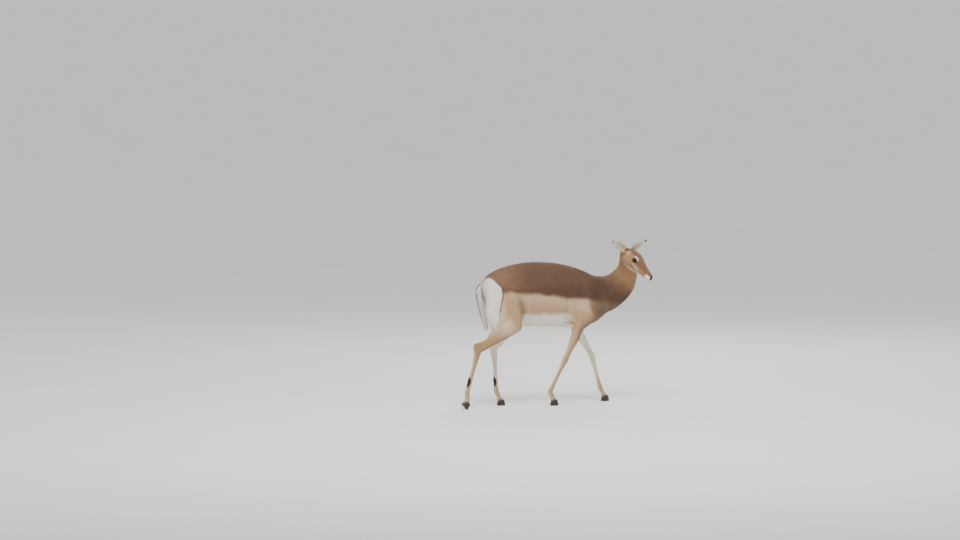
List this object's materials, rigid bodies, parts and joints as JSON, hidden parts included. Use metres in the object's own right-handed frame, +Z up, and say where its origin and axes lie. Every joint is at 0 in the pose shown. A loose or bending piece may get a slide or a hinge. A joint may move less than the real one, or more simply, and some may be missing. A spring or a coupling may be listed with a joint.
{
  "type": "impala antelope",
  "caption": "Life-size still model of an impala ewe in mid-stride, head up and turned to her right, standing on its own hooves.",
  "frame": {"origin": "on the floor under the middle of the model's box", "axes": "+X the way the trunk faces and walks, +Y the animal's left, +Z up"},
  "size_m": [1.2771, 0.3964, 1.0226],
  "materials": {
    "coat_saddle": "short reddish-brown coat",
    "coat_tan": "short golden-tan coat",
    "coat_pale": "short pale fawn coat",
    "coat_white": "longer white coat",
    "horn": "dark satin horn",
    "eye": "dark polished eye"
  },
  "bodies": {
    "root": {"trunk": "coat_saddle", "neck": "coat_tan", "head": "coat_tan", "tail": "coat_white", "leg_front_left": "coat_pale", "leg_front_right": "coat_pale", "leg_hind_left": "coat_pale", "leg_hind_right": "coat_pale", "ear_left": "coat_tan", "ear_right": "coat_tan", "eye_left": "eye", "eye_right": "eye", "hoof_front_left_outer": "horn", "hoof_front_left_inner": "horn", "hoof_front_right_outer": "horn", "hoof_front_right_inner": "horn", "hoof_hind_left_outer": "horn", "hoof_hind_left_inner": "horn", "hoof_hind_right_outer": "horn", "hoof_hind_right_inner": "horn"}
  },
  "joints": []
}
